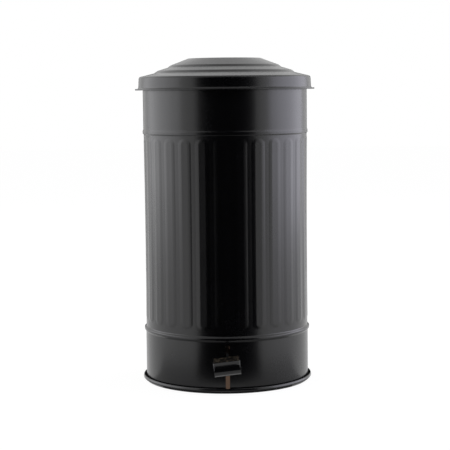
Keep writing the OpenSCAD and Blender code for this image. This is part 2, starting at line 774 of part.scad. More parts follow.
// The cap's outer face, from the brim's edge to the middle of the top
function lid_outline() = rounded([
    [brim_r - brim_roll_r, brim_z + brim_roll_r, 0],
    [skirt_r, brim_z + 2.4, 3],
    [shoulder_r, shoulder_z, shoulder_fillet],
    [step1_r, step1_z, step_fillet],
    [step2_r, step2_z, step_fillet],
    [step3_r, step3_z, step_fillet],
    [step4_r, step4_z, step_fillet],
    [crown_r, crown_z, step_fillet],
    [10, lid_top_z, 10],
    [0, lid_top_z, 0]
]);

module lid_shell() {
    outer = lid_outline();
    color(black) difference() {
        union() {
            rotate_extrude($fn = 180) polygon(concat(outer, reversed(shifted(outer, sheet_t))));
            rotate_extrude($fn = 180) translate([brim_r - brim_roll_r, brim_z + brim_roll_r - sheet_t / 2])
                circle(r = brim_roll_r, $fn = 24);
        }
        // Notch over the hinge ears
        translate([-lid_notch_x, body_r - 20, brim_z - 5])
            cube([2 * lid_notch_x, 40, lid_notch_top - brim_z + 5]);
    }
}

// Height of the outer step's underside at the radius r
function underside(r) =
    shoulder_z + lid_slope * (shoulder_r - r) - sheet_t * sqrt(1 + lid_slope * lid_slope);

module lid_bracket() {
    leaf_y0 = step1_r + step_fillet;
    leaf_y1 = shoulder_r - shoulder_fillet - 3;
    // The flat leaf touches the cone at its two long edges
    bow = sqrt(pow(leaf_w / 2, 2) + pow(leaf_y0, 2)) - leaf_y0;
    drop = lid_slope * bow + seat;
    leaf = [
        [leaf_y0, underside(leaf_y0) - drop],
        [leaf_y1, underside(leaf_y1) - drop],
        [leaf_y1, underside(leaf_y1) - drop - leaf_t],
        [leaf_y0, underside(leaf_y0) - drop - leaf_t]
    ];
    in_y = body_r + 3;
    rest_angle = lid_swing / 2;
    color(black) difference() {
        union() {
            plate_x(-leaf_w / 2, leaf_w / 2) polygon(leaf);
            for (side = [-1, 1]) {
                x0 = side > 0 ? cheek_x : -cheek_out_x;
                plate_x(x0, x0 + bracket_t) {
                    polygon([
                        leaf[0] - [0, leaf_t / 2],
                        leaf[1] - [0, leaf_t / 2],
                        [in_y, rim_z - 1],
                        [hinge_y, hinge_z + cheek_eye_r],
                        [hinge_y, hinge_z],
                        [rod_y - link_arm_r, rod_top_z + 3]
                    ]);
                    translate([hinge_y, hinge_z]) {
                        circle(r = cheek_eye_r);
                        rotate(rest_angle) translate([-slot_out, -link_arm_r])
                            square([slot_out, 2 * link_arm_r]);
                        rotate(rest_angle) translate([-slot_out, 0]) circle(r = link_arm_r);
                    }
                }
            }
        }
        translate([0, hinge_y, hinge_z]) bar_x(-leaf_w / 2, leaf_w / 2, bore_r);
        translate([0, hinge_y, hinge_z]) rotate([rest_angle, 0, 0]) {
            for (d = [slot_in, slot_out])
                translate([0, -d, 0]) bar_x(-leaf_w / 2, leaf_w / 2, link_pin_r + slot_play);
            translate([-leaf_w / 2, -slot_out, -link_pin_r - slot_play])
                cube([leaf_w, slot_out - slot_in, 2 * (link_pin_r + slot_play)]);
        }
    }
}

module lid_buffers() {
    face = shifted(lid_outline(), sheet_t + 0.05);
    color([0.1, 0.1, 0.1]) for (i = [0:buffer_count - 1]) rotate([0, 0, i * 360 / buffer_count])
        intersection() {
            translate([0, -roll_mid_r, rim_z + roll_r + rest_gap]) cylinder(r = buffer_r, h = 9, $fn = 32);
            rotate_extrude($fn = 180) polygon(concat([[0, brim_z]], [for (p = face) [max(p[0], 0), p[1]]]));
        }
}

module bucket() {
    t = bucket_t;
    outline = rounded([
        [0, foot_rise, 0],
        [bucket_foot_r - 11, foot_rise, 2],
        [bucket_foot_r - 9, 0, 1],
        [bucket_foot_r, 0, 2.4],
        [bucket_top_r, bucket_h - t, 0.8],
        [flange_r - t, bucket_h - t, 0.8],
        [flange_r - t, bucket_h - flange_lip, 0],
        [flange_r, bucket_h - flange_lip, 0],
        [flange_r, bucket_h, 1.6],
        [bucket_top_r - t, bucket_h, 1.6],
        [bucket_foot_r - t, foot_rise + t, 6],
        [0, foot_rise + t, 0]
    ]);
    color(grey_plastic) difference() {
        union() {
            translate([0, 0, bucket_z]) rotate_extrude($fn = 180) polygon(outline);
            for (side = [-1, 1]) {
                x0 = side > 0 ? lug_x : -lug_out_x;
                plate_x(x0, x0 + lug_t) {
                    translate([0, bail_z]) circle(r = 5, $fn = 48);
                    translate([-5, bucket_top_z - t / 2]) square([10, bail_z - bucket_top_z + t / 2]);
                }
            }
        }
        translate([0, 0, bail_z]) bar_x(-body_r, body_r, wire_r + pin_fit);
    }
}

module bail_wire() {
    inner_x = lug_x - 1.4;
    color(steel) translate([0, 0, bail_z]) {
        rotate([0, 0, 180]) rotate_extrude(angle = 180, $fn = 120)
            translate([bail_r, 0]) circle(r = wire_r, $fn = 32);
        for (side = [-1, 1]) {
            bar_x(side > 0 ? inner_x : -bail_r - wire_r, side > 0 ? bail_r + wire_r : -inner_x, wire_r);
            // The wire's end is hammered flat so that it stays in its lug
            bar_x(side > 0 ? inner_x : -inner_x - 1.2, side > 0 ? inner_x + 1.2 : -inner_x, wire_r * 1.6);
        }
    }
}

module bail_grip() {
    start = 270 - grip_angle / 2;
    color(grey_plastic) translate([0, 0, bail_z]) rotate([0, 0, start])
        rotate_extrude(angle = grip_angle, $fn = 120) translate([bail_r, 0]) difference() {
            circle(r = grip_r, $fn = 48);
            circle(r = wire_r + pin_fit, $fn = 32);
        }
}

at_axis() body_shell();
at_axis() base_ring();
at_axis() shelf();
at_axis() pivot_bracket();
at_axis() pivot_rivets();
at_axis() pivot_pin();
at_axis() pivot_clip();
at_axis() rod_guides();
at_axis() hinge_bracket();
at_axis() hinge_rivets();
at_axis() hinge_pin();
at_axis() hinge_clip();
at_axis() pedal_lever();
at_axis() pivot_bush();
at_axis() pedal_pad();
at_axis() pad_grip();
at_axis() lift_rod();
at_axis() rod_top_pin();
at_axis() rod_foot_pin();
at_axis() rod_clips();
at_axis() lid_shell();
at_axis() lid_bracket();
at_axis() lid_buffers();
at_axis() bucket();
at_axis() bail_wire();
at_axis() bail_grip();
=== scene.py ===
import json
import math
import random

import bmesh
import bpy
from mathutils import Matrix, Vector


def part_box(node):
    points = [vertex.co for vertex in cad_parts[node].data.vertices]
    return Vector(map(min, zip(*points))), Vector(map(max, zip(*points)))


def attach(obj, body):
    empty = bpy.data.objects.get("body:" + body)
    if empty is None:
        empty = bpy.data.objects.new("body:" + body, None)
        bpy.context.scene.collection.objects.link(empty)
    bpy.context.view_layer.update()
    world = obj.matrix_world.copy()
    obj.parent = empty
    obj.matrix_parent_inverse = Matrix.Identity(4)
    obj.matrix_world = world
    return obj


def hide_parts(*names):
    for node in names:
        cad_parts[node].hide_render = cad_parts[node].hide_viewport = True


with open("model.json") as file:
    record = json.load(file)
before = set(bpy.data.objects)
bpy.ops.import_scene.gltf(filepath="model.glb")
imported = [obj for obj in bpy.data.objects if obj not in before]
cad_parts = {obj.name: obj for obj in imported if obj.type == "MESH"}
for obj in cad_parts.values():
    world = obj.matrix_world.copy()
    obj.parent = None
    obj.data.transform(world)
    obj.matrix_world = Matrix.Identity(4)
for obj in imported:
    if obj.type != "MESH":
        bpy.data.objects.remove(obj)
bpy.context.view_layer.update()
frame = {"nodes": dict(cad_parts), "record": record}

MM = 0.001

# The place of the can's axis, in metres
ring_low, ring_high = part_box("base_ring")
AXIS_Y = (ring_low.y + ring_high.y) / 2

# Sizes of the wall, in millimetres
WALL_R = 130.0
SHEET = 0.8
RIM_Z = 475.5
LOW_BEAD_Z = 83.9
HIGH_BEAD_Z = 396.8
# The beads: how far they stand out, and how far from their middle height their slopes end
LOW_BEAD_OUT = 2.3
LOW_BEAD_HALF = 4.7
HIGH_BEAD_OUT = 1.0
HIGH_BEAD_ABOVE = 4.9
HIGH_BEAD_BELOW = 3.9
HIGH_CREST_BELOW = 2.0
BEAD_CREST = 1.0
# The wall between the beads is set in, most at half height
WAIST_IN = 0.5
WAIST_DEEPER = 0.8
# The wall is drawn in at its foot, where it goes into the ring
WALL_LOW_Z = 4.1
TUCK_LOW_Z = 8.2
TUCK_HIGH_Z = 9.8
TUCK_IN = 0.45
# A rib has a flat crest, sloped sides and steeper round ends, and its corners are rounded
RIB_COUNT = 28
RIB_TURN = math.radians(-3.05)
RIB_HALF_TOP = 5.15
RIB_SLOPE = 6.0
RIB_END_SLOPE = 3.4
RIB_RISE = 0.49
RIB_SOFT = 0.4
RIB_LOW_GAP = 13.6
RIB_HIGH_GAP = 8.1
# The slot for the pedal's lever
SLOT_W = 6.4
SLOT_X = 0.5
SLOT_LOW = 5.0
SLOT_TOP = 75.7
RING_NOTCH_Z = 7.6
SLOT_ARC_STEPS = 24


# Camera, matched to the photograph: its place in metres, its lens and sensor in millimetres
CAMERA_BACK = 2.2367
CAMERA_HEIGHT = 0.4619
CAMERA_TILT = math.radians(5.5)
CAMERA_ROLL = math.radians(0.567)
CAMERA_LENS = 112.18
SENSOR_WIDTH = 36.0
IMAGE_SIDE = 450
IMAGE_SHIFT_PX = 1.02

camera_data = bpy.data.cameras.new("camera")
camera_data.sensor_width = SENSOR_WIDTH
camera_data.lens = CAMERA_LENS
camera_data.shift_x = -IMAGE_SHIFT_PX / IMAGE_SIDE
camera = bpy.data.objects.new("camera", camera_data)
camera.matrix_world = (
    Matrix.Translation((0, AXIS_Y - CAMERA_BACK, CAMERA_HEIGHT))
    @ Matrix.Rotation(math.pi / 2 - CAMERA_TILT, 4, "X")
    @ Matrix.Rotation(-CAMERA_ROLL, 4, "Z")
)
bpy.context.scene.collection.objects.link(camera)
bpy.context.scene.camera = camera
bpy.context.scene.view_settings.view_transform = "Standard"


# Mesh helpers; faces that meet below a smooth angle, in degrees, are shaded smooth
SMOOTH_ANGLE = 40
PRESSED_SMOOTH = 50


def add_object(name, verts, faces, material, smooth_angle=SMOOTH_ANGLE):
    """A mesh object from points in millimetres about the can's axis."""
    mesh = bpy.data.meshes.new(name)
    mesh.from_pydata([(x * MM, y * MM + AXIS_Y, z * MM) for x, y, z in verts], [], faces)
    mesh.validate()
    obj = bpy.data.objects.new(name, mesh)
    bpy.context.scene.collection.objects.link(obj)
    mesh.materials.append(material)
    finish_normals(obj, smooth_angle)
    return obj


def finish_normals(obj, smooth_angle):
    """Turns the faces outwards and shades them smooth below an angle."""
    work = bmesh.new()
    work.from_mesh(obj.data)
    bmesh.ops.recalc_face_normals(work, faces=work.faces)
    limit = math.radians(smooth_angle)
    for edge in work.edges:
        edge.smooth = len(edge.link_faces) == 2 and edge.calc_face_angle(0.0) < limit
    for face in work.faces:
        face.smooth = True
    work.to_mesh(obj.data)
    work.free()


def apply_modifiers(obj):
    """Writes the modified mesh back into the object."""
    graph = bpy.context.evaluated_depsgraph_get()
    mesh = bpy.data.meshes.new_from_object(obj.evaluated_get(graph))
    obj.modifiers.clear()
    obj.data = mesh


def cut_away(obj, smooth_angle, *cutters):
    """Takes the cutters' solids out of the object, deletes them and shades the object again."""
    for cutter in cutters:
        change = obj.modifiers.new("cut", "BOOLEAN")
        change.operation = "DIFFERENCE"
        change.solver = "EXACT"
        change.object = cutter
    apply_modifiers(obj)
    for cutter in cutters:
        bpy.data.objects.remove(cutter)
    finish_normals(obj, smooth_angle)


def loop_faces(rows, count, closed_rows=False):
    """Quads of a grid whose rows are rings of count points."""
    faces = []
    last = rows if closed_rows else rows - 1
    for i in range(last):
        j = (i + 1) % rows
        for k in range(count):
            n = (k + 1) % count
            faces.append((i * count + k, i * count + n, j * count + n, j * count + k))
    return faces


def revolve(name, outline, steps, material, smooth_angle=SMOOTH_ANGLE):
    """A closed outline of (r, z) turned about the can's axis."""
    verts = []
    for r, z in outline:
        for k in range(steps):
            a = 2 * math.pi * k / steps
            verts.append((r * math.cos(a), r * math.sin(a), z))
    return add_object(name, verts, loop_faces(len(outline), steps, True), material, smooth_angle)


def angles_between(start, end, count):
    """Angles in count equal steps between two angles in degrees, both included."""
    return [math.radians(start + (end - start) * i / count) for i in range(count + 1)]


def arc(middle, radius, angles):
    """Points round a middle at the given angles."""
    return [(middle[0] + radius * math.cos(a), middle[1] + radius * math.sin(a)) for a in angles]


# A corner this near to straight, in radians, gets no arc
STRAIGHT = 1e-4


def corner_points(before, at, after, radius, count):
    """Points of the arc that rounds one corner."""
    u = (Vector(before) - Vector(at)).normalized()
    v = (Vector(after) - Vector(at)).normalized()
    half = math.acos(max(-1.0, min(1.0, u.dot(v)))) / 2
    if math.pi / 2 - half < STRAIGHT:
        return [at]
    middle = Vector(at) + (u + v).normalized() * radius / math.sin(half)
    start = Vector(at) + u * radius / math.tan(half) - middle
    end = Vector(at) + v * radius / math.tan(half) - middle
    a0 = math.atan2(start.y, start.x)
    turn = (math.atan2(end.y, end.x) - a0 + math.pi) % (2 * math.pi) - math.pi
    return arc(middle, radius, [a0 + turn * i / count for i in range(count + 1)])


def rounded(path, count=8, closed=False):
    """An outline of (r, z, fillet) points with its corners rounded."""
    points = []
    for i, (r, z, fillet) in enumerate(path):
        end = i in (0, len(path) - 1) and not closed
        if fillet == 0 or end:
            points.append((r, z))
        else:
            before = path[i - 1][:2]
            after = path[(i + 1) % len(path)][:2]
            points += corner_points(before, (r, z), after, fillet, count)
    return points


def split_long(path, longest):
    """The path with points added, so that no step is longer than this."""
    out = [path[0]]
    for a, b in zip(path, path[1:]):
        parts = max(1, math.ceil(math.dist(a, b) / longest))
        shares = [i / parts for i in range(1, parts + 1)]
        out += [(a[0] + (b[0] - a[0]) * share, a[1] + (b[1] - a[1]) * share) for share in shares]
    return out


NO_LENGTH = 1e-9
SHARPEST = 0.3


def shifted(path, distance):
    """The outline moved to its left, as the other face of a sheet."""
    out = []
    for i, point in enumerate(path):
        here = Vector(point)
        before = Vector(path[max(i - 1, 0)])
        after = Vector(path[min(i + 1, len(path) - 1)])
        steps = [(here - before), (after - here)]
        normals = [Vector((-s.y, s.x)).normalized() for s in steps if s.length > NO_LENGTH]
        middle = sum(normals, Vector((0, 0))).normalized()
        moved = here + middle * distance / max(SHARPEST, middle.dot(normals[0]))
        out.append((moved.x, moved.y))
    return out


def box_solid(name, low, high, material):
    """A plain box, used only for cutting."""
    (x0, y0, z0), (x1, y1, z1) = low, high
    verts = [(x, y, z) for x in (x0, x1) for y in (y0, y1) for z in (z0, z1)]
    faces = [(0, 1, 3, 2), (4, 6, 7, 5), (0, 4, 5, 1), (2, 3, 7, 6), (0, 2, 6, 4), (1, 5, 7, 3)]
    return add_object(name, verts, faces, material)


def bar_solid(name, outline, y0, y1, material):
    """A bar with the section (x, z) between two places in y, used only for cutting."""
    count = len(outline)
    verts = [(x, y, z) for y in (y0, y1) for x, z in outline]
    faces = [tuple(range(count)), tuple(range(2 * count - 1, count - 1, -1))]
    faces += [(i, (i + 1) % count, count + (i + 1) % count, count + i) for i in range(count)]
    return add_object(name, verts, faces, material)


def body_of(node):
    """The body that a CAD node belongs to."""
    for body, members in frame["record"]["behaviour"]["bodies"].items():
        if node in members:
            return body
    raise ValueError(node)


SAME_POINT_M = 2e-6
FLAT_ANGLE = math.radians(0.5)
EDGE_ANGLE = math.radians(35)
EDGE_STEPS = 2
EDGE_SMOOTH = 45


def softened(node, material, width):
    """Makes a copy of a CAD node with its sharp edges bevelled, standing for that node."""
    source = frame["nodes"][node]
    obj = bpy.data.objects.new(node + "_finish", source.data.copy())
    bpy.context.scene.collection.objects.link(obj)
    obj.data.materials.clear()
    obj.data.materials.append(material)
    work = bmesh.new()
    work.from_mesh(obj.data)
    bmesh.ops.remove_doubles(work, verts=work.verts, dist=SAME_POINT_M)
    bmesh.ops.dissolve_limit(work, angle_limit=FLAT_ANGLE, verts=work.verts, edges=work.edges)
    work.to_mesh(obj.data)
    work.free()
    bevel = obj.modifiers.new("edge", "BEVEL")
    bevel.width = width * MM
    bevel.segments = EDGE_STEPS
    bevel.limit_method = "ANGLE"
    bevel.angle_limit = EDGE_ANGLE
    bevel.use_clamp_overlap = True
    apply_modifiers(obj)
    old_normals = obj.data.attributes.get("custom_normal")
    if old_normals:
        obj.data.attributes.remove(old_normals)
    finish_normals(obj, EDGE_SMOOTH)
    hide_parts(node)
    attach(obj, body_of(node))


# Material helpers
NOISE_LOW = 0.3
NOISE_HIGH = 0.7


class Shader:
    """A node material under construction."""

    def __init__(self, name, colour, roughness, metallic=0.0, ior=1.5):
        self.material = bpy.data.materials.new(name)
        self.material.use_nodes = True
        self.tree = self.material.node_tree
        self.surface = self.tree.nodes["Principled BSDF"]
        self.surface.inputs["Base Color"].default_value = (*colour, 1)
        self.surface.inputs["Roughness"].default_value = roughness
        self.surface.inputs["Metallic"].default_value = metallic
        self.surface.inputs["IOR"].default_value = ior
        self.place = self.tree.nodes.new("ShaderNodeTexCoord")

    def node(self, kind, **inputs):
        made = self.tree.nodes.new(kind)
        for key, value in inputs.items():
            made.inputs[key].default_value = value
        return made

    def link(self, source, target):
        self.tree.links.new(source, target)

    def noise(self, scale, detail=3.0, stretch=(1, 1, 1)):
        """Noise with the given number of features a metre."""
        size = self.node("ShaderNodeMapping")
        size.inputs["Scale"].default_value = stretch
        self.link(self.place.outputs["Object"], size.inputs["Vector"])
        made = self.node("ShaderNodeTexNoise", Scale=scale, Detail=detail)
        self.link(size.outputs["Vector"], made.inputs["Vector"])
        return made.outputs["Fac"]

    def cells(self, scale):
        """Random cells, with the given number across a metre."""
        made = self.node("ShaderNodeTexVoronoi", Scale=scale)
        self.link(self.place.outputs["Object"], made.inputs["Vector"])
        return made

    def spread(self, value, low, high, out_low, out_high):
        """The value with its range from low to high mapped to another range."""
        made = self.tree.nodes.new("ShaderNodeMapRange")
        made.inputs["From Min"].default_value = low
        made.inputs["From Max"].default_value = high
        made.inputs["To Min"].default_value = out_low
        made.inputs["To Max"].default_value = out_high
        self.link(value, made.inputs["Value"])
        return made.outputs["Result"]

    def vary(self, noise, low, high):
        """Noise with the middle of its range mapped to low and high."""
        return self.spread(noise, NOISE_LOW, NOISE_HIGH, low, high)

    def math(self, operation, a, b):
        made = self.tree.nodes.new("ShaderNodeMath")
        made.operation = operation
        for socket, value in zip(made.inputs, (a, b)):
            if isinstance(value, (int, float)):
                socket.default_value = value
            else:
                self.link(value, socket)
        return made.outputs["Value"]

    def mix(self, factor, colour_a, colour_b):
        made = self.tree.nodes.new("ShaderNodeMix")
        made.data_type = "RGBA"
        made.inputs["A"].default_value = (*colour_a, 1)
        made.inputs["B"].default_value = (*colour_b, 1)
        self.link(factor, made.inputs["Factor"])
        return made.outputs["Result"]

    def colour(self, value):
        self.link(value, self.surface.inputs["Base Color"])

    def roughness(self, value):
        self.link(value, self.surface.inputs["Roughness"])

    def bump(self, height, depth, strength=1.0):
        """Adds relief; depth is the height of the relief in metres."""
        made = self.node("ShaderNodeBump", Strength=strength, Distance=depth)
        self.link(height, made.inputs["Height"])
        if self.surface.inputs["Normal"].is_linked:
            self.link(self.surface.inputs["Normal"].links[0].from_socket, made.inputs["Normal"])
        self.link(made.outputs["Normal"], self.surface.inputs["Normal"])


ENAMEL = (0.0014, 0.0014, 0.0021)
DUST = (0.16, 0.15, 0.14)


def make_paint():
    """Satin black enamel on sheet steel: faint orange peel, slow sheen changes and a few dust specks."""
    look = Shader("black_enamel", ENAMEL, 0.26, ior=1.55)
    slow = look.vary(look.noise(14, 2), -0.02, 0.02)
    fine = look.vary(look.noise(260, 2), 0.251, 0.264)
    look.roughness(look.math("ADD", slow, fine))
    specks = look.cells(95)
    near = look.spread(specks.outputs["Distance"], 0.012, 0.02, 1.0, 0.0)
    picked = look.math("GREATER_THAN", look.noise(23, 0), 0.62)
    look.colour(look.mix(look.math("MULTIPLY", near, picked), ENAMEL, DUST))
    look.bump(look.noise(620, 2), 0.00002, 0.25)
    look.bump(look.noise(9, 1), 0.0006, 0.25)
    return look.material


def make_gloss():
    """Gloss black enamel of the pedal pad."""
    look = Shader("gloss_enamel", (0.003, 0.003, 0.0035), 0.16, ior=1.6)
    look.roughness(look.vary(look.noise(90, 3), 0.12, 0.2))
    look.bump(look.noise(420, 2), 0.00003, 0.3)
    return look.material


def make_ring_plastic():
    """Semi-gloss moulded plastic of the base ring."""
    look = Shader("ring_plastic", (0.004, 0.004, 0.005), 0.2, ior=1.55)
    look.roughness(look.vary(look.noise(60, 3), 0.17, 0.26))
    look.bump(look.noise(900, 2), 0.00002, 0.3)
    return look.material


def make_lever_paint():
    """Thin black paint on the pedal lever, rubbed by the slot."""
    look = Shader("lever_paint", (0.008, 0.008, 0.009), 0.42, ior=1.5)
    look.surface.inputs["Specular IOR Level"].default_value = 0.2
    look.roughness(look.vary(look.noise(70, 3), 0.36, 0.5))
    look.bump(look.noise(500, 2), 0.00003, 0.3)
    return look.material


def make_grit():
    """Coarse anti-slip strip: dark binder and grains in relief, with lighter patches in its colour that are
    partly the grains' own tone and partly painted glints.
    """
    look = Shader("grit_strip", (0.006, 0.005, 0.004), 0.7, ior=1.3)
    look.surface.inputs["Specular IOR Level"].default_value = 0.16
    grains = look.cells(900)
    high = look.spread(grains.outputs["Distance"], 0.05, 0.55, 1.0, 0.0)
    # Lighter patches: partly the grains' own tone, partly painted glints where grains catch the light
    grain_tone_and_glint = look.spread(look.noise(430, 1, (1, 0.35, 1)), 0.54, 0.6, 0.0, 1.0)
    look.colour(look.mix(grain_tone_and_glint, (0.001, 0.0008, 0.0006), (0.085, 0.069, 0.049)))
    look.roughness(look.vary(look.noise(1500, 2), 0.5, 0.9))
    look.bump(high, 0.0003, 0.9)
    look.bump(look.noise(240, 3), 0.0012, 0.6)
    return look.material


def make_zinc():
    """Zinc-plated steel of pins, rod and small brackets."""
    look = Shader("zinc_plate", (0.52, 0.53, 0.55), 0.32, metallic=1.0)
    look.colour(look.mix(look.noise(45, 4), (0.44, 0.45, 0.47), (0.62, 0.62, 0.62)))
    look.roughness(look.vary(look.noise(140, 4), 0.24, 0.46))
    look.bump(look.noise(1400, 2, (1, 1, 0.15)), 0.00002, 0.4)
    return look.material


def make_galvanised():
    """Galvanised sheet with a crystal spangle."""
    look = Shader("galvanised_sheet", (0.42, 0.43, 0.44), 0.38, metallic=1.0)
    spangle = look.cells(110)
    tone = look.node("ShaderNodeSeparateColor")
    look.link(spangle.outputs["Color"], tone.inputs["Color"])
    look.colour(look.mix(tone.outputs["Red"], (0.34, 0.35, 0.36), (0.52, 0.53, 0.54)))
    look.roughness(look.spread(tone.outputs["Green"], 0.0, 1.0, 0.3, 0.5))
    look.bump(look.noise(300, 3), 0.00004, 0.3)
    return look.material


def make_bucket_plastic():
    """Fine-textured black polypropylene of the bucket, with faint drawing marks."""
    look = Shader("bucket_plastic", (0.02, 0.02, 0.022), 0.5, ior=1.49)
    look.roughness(look.vary(look.noise(30, 4, (1, 1, 0.2)), 0.42, 0.6))
    look.colour(look.mix(look.noise(12, 3), (0.017, 0.017, 0.019), (0.026, 0.026, 0.028)))
    look.bump(look.noise(1100, 2), 0.00006, 0.5)
    return look.material


def make_grip_plastic():
    """Grained plastic of the bail's grip."""
    look = Shader("grip_plastic", (0.022, 0.022, 0.022), 0.55, ior=1.49)
    look.roughness(look.vary(look.noise(80, 3), 0.48, 0.66))
    look.bump(look.cells(900).outputs["Distance"], 0.00012, 0.5)
    return look.material


def make_rubber():
    """Soft black rubber of the buffers."""
    look = Shader("buffer_rubber", (0.02, 0.02, 0.02), 0.75, ior=1.52)
    look.roughness(look.vary(look.noise(200, 3), 0.68, 0.85))
    look.bump(look.noise(800, 3), 0.00005, 0.5)
    return look.material


def make_nylon():
    """Natural nylon of the pivot bush."""
    look = Shader("natural_nylon", (0.7, 0.69, 0.63), 0.45, ior=1.53)
    look.surface.inputs["Subsurface Weight"].default_value = 0.1
    look.surface.inputs["Subsurface Radius"].default_value = (0.002, 0.0018, 0.0014)
    look.roughness(look.vary(look.noise(150, 3), 0.4, 0.55))
    return look.material


paint = make_paint()
gloss = make_gloss()
ring_plastic = make_ring_plastic()
lever_paint = make_lever_paint()
grit = make_grit()
zinc = make_zinc()
galvanised = make_galvanised()
bucket_plastic = make_bucket_plastic()
grip_plastic = make_grip_plastic()
rubber = make_rubber()
nylon = make_nylon()


# Body shell
def ramp(z, z0, r0, z1, r1):
    """A smooth ramp between two heights."""
    t = max(0.0, min(1.0, (z - z0) / (z1 - z0)))
    return r0 + (r1 - r0) * (1 - math.cos(math.pi * t)) / 2


def rib_ramp(d, slope):
    """1 on a rib's crest, falling to 0 at the foot of its slope."""
    return max(0.0, min(1.0, (RIB_HALF_TOP + slope - d) / slope))


RIB_LOW_Z = LOW_BEAD_Z + RIB_LOW_GAP + RIB_HALF_TOP + RIB_END_SLOPE
RIB_HIGH_Z = HIGH_BEAD_Z - RIB_HIGH_GAP - RIB_HALF_TOP - RIB_END_SLOPE
PITCH = 2 * math.pi / RIB_COUNT
SOFT_STEPS = 3


def rib_height(offset, z):
    """How far a rib stands out, at an angle from its middle and a height."""
    s = WALL_R * offset
    beyond = max(RIB_LOW_Z - z, z - RIB_HIGH_Z, 0.0)
    d = math.hypot(s, beyond)
    if d > RIB_HALF_TOP + RIB_SLOPE + RIB_SOFT:
        return 0.0
    # The foot of the slope is an ellipse round each end, so the slope is steeper there
    foot = math.hypot(s / (RIB_HALF_TOP + RIB_SLOPE), beyond / (RIB_HALF_TOP + RIB_END_SLOPE))
    slope = d / foot - RIB_HALF_TOP if beyond > 0 else RIB_SLOPE
    # The mean of the ramp over a short stretch rounds its corners
    shifts = [RIB_SOFT * i / SOFT_STEPS for i in range(-SOFT_STEPS, SOFT_STEPS + 1)]
    soft = sum(rib_ramp(abs(d + shift), slope) for shift in shifts) / len(shifts)
    flat = (WALL_R + RIB_RISE) / math.cos(offset) - WALL_R
    return soft * flat


def waist_out(z):
    """How far the wall between the beads stands out: a negative length, because it is set in."""
    t = (z - LOW_BEAD_Z) / (HIGH_BEAD_Z - LOW_BEAD_Z)
    return -WAIST_IN - WAIST_DEEPER * 4 * t * (1 - t)


def wall_out(z):
    """How far the wall stands out of its plain radius at the height z."""
    if z < TUCK_HIGH_Z:
        return ramp(z, TUCK_LOW_Z, -TUCK_IN, TUCK_HIGH_Z, 0.0)
    if z <= LOW_BEAD_Z:
        return ramp(z, LOW_BEAD_Z - LOW_BEAD_HALF, 0.0, LOW_BEAD_Z - BEAD_CREST, LOW_BEAD_OUT)
    if z <= (LOW_BEAD_Z + HIGH_BEAD_Z) / 2:
        return ramp(z, LOW_BEAD_Z + BEAD_CREST, LOW_BEAD_OUT, LOW_BEAD_Z + LOW_BEAD_HALF, waist_out(z))
    if z <= HIGH_BEAD_Z:
        foot_z = HIGH_BEAD_Z - HIGH_BEAD_BELOW
        return ramp(z, foot_z, waist_out(z), HIGH_BEAD_Z - HIGH_CREST_BELOW, HIGH_BEAD_OUT)
    return ramp(z, HIGH_BEAD_Z + BEAD_CREST, HIGH_BEAD_OUT, HIGH_BEAD_Z + HIGH_BEAD_ABOVE, 0.0)


def steps_between(stops):
    """Heights from a list of (z, spacing up to the next)."""
    out = []
    for (z0, gap), (z1, _) in zip(stops, stops[1:]):
        count = max(1, round((z1 - z0) / gap))
        out += [z0 + (z1 - z0) * i / count for i in range(count)]
    return out + [stops[-1][0]]


# Heights on the two faces of the wall, each with the mesh's spacing from there to the next
OUTER_STOPS = (
    (WALL_LOW_Z, 4), (TUCK_LOW_Z, 0.2), (TUCK_HIGH_Z, 9),
    (LOW_BEAD_Z - 5.9, 0.4), (LOW_BEAD_Z + 6.1, 1.0), (LOW_BEAD_Z + 25.1, 12),
    (HIGH_BEAD_Z - 21.8, 0.9), (HIGH_BEAD_Z - 5.3, 0.5), (HIGH_BEAD_Z - 3.8, 0.3),
    (HIGH_BEAD_Z - 0.3, 0.5), (HIGH_BEAD_Z + 6.2, 9), (RIM_Z, 1),
)
INNER_STOPS = (
    (WALL_LOW_Z, 4), (TUCK_LOW_Z, 0.5), (TUCK_HIGH_Z, 24),
    (LOW_BEAD_Z - 5.9, 1.2), (LOW_BEAD_Z + 6.1, 2.4), (LOW_BEAD_Z + 25.1, 26),
    (HIGH_BEAD_Z - 21.8, 2.4), (HIGH_BEAD_Z - 4.8, 1.0), (HIGH_BEAD_Z + 6.2, 12), (RIM_Z, 1),
)
# Columns of the mesh on each side of a rib's middle, close together at its corners
RIB_SPOTS = (3, 4.4, 4.9, 5.4, 6, 8, 9.8, 10.5, 11, 11.5, 12, 13.2)
# The ribs on the inner face are a little lower, and the two faces end beside the rolled rim
INNER_RIB_SHARE = 0.97
RIM_ROLL_R = 2.0
RIM_ROLL_STEPS = 12
RIM_JOIN = 1.6
INNER_JOIN = 0.5
# How far a cutter reaches past the sheet that it cuts
CUT_REACH = 8.0


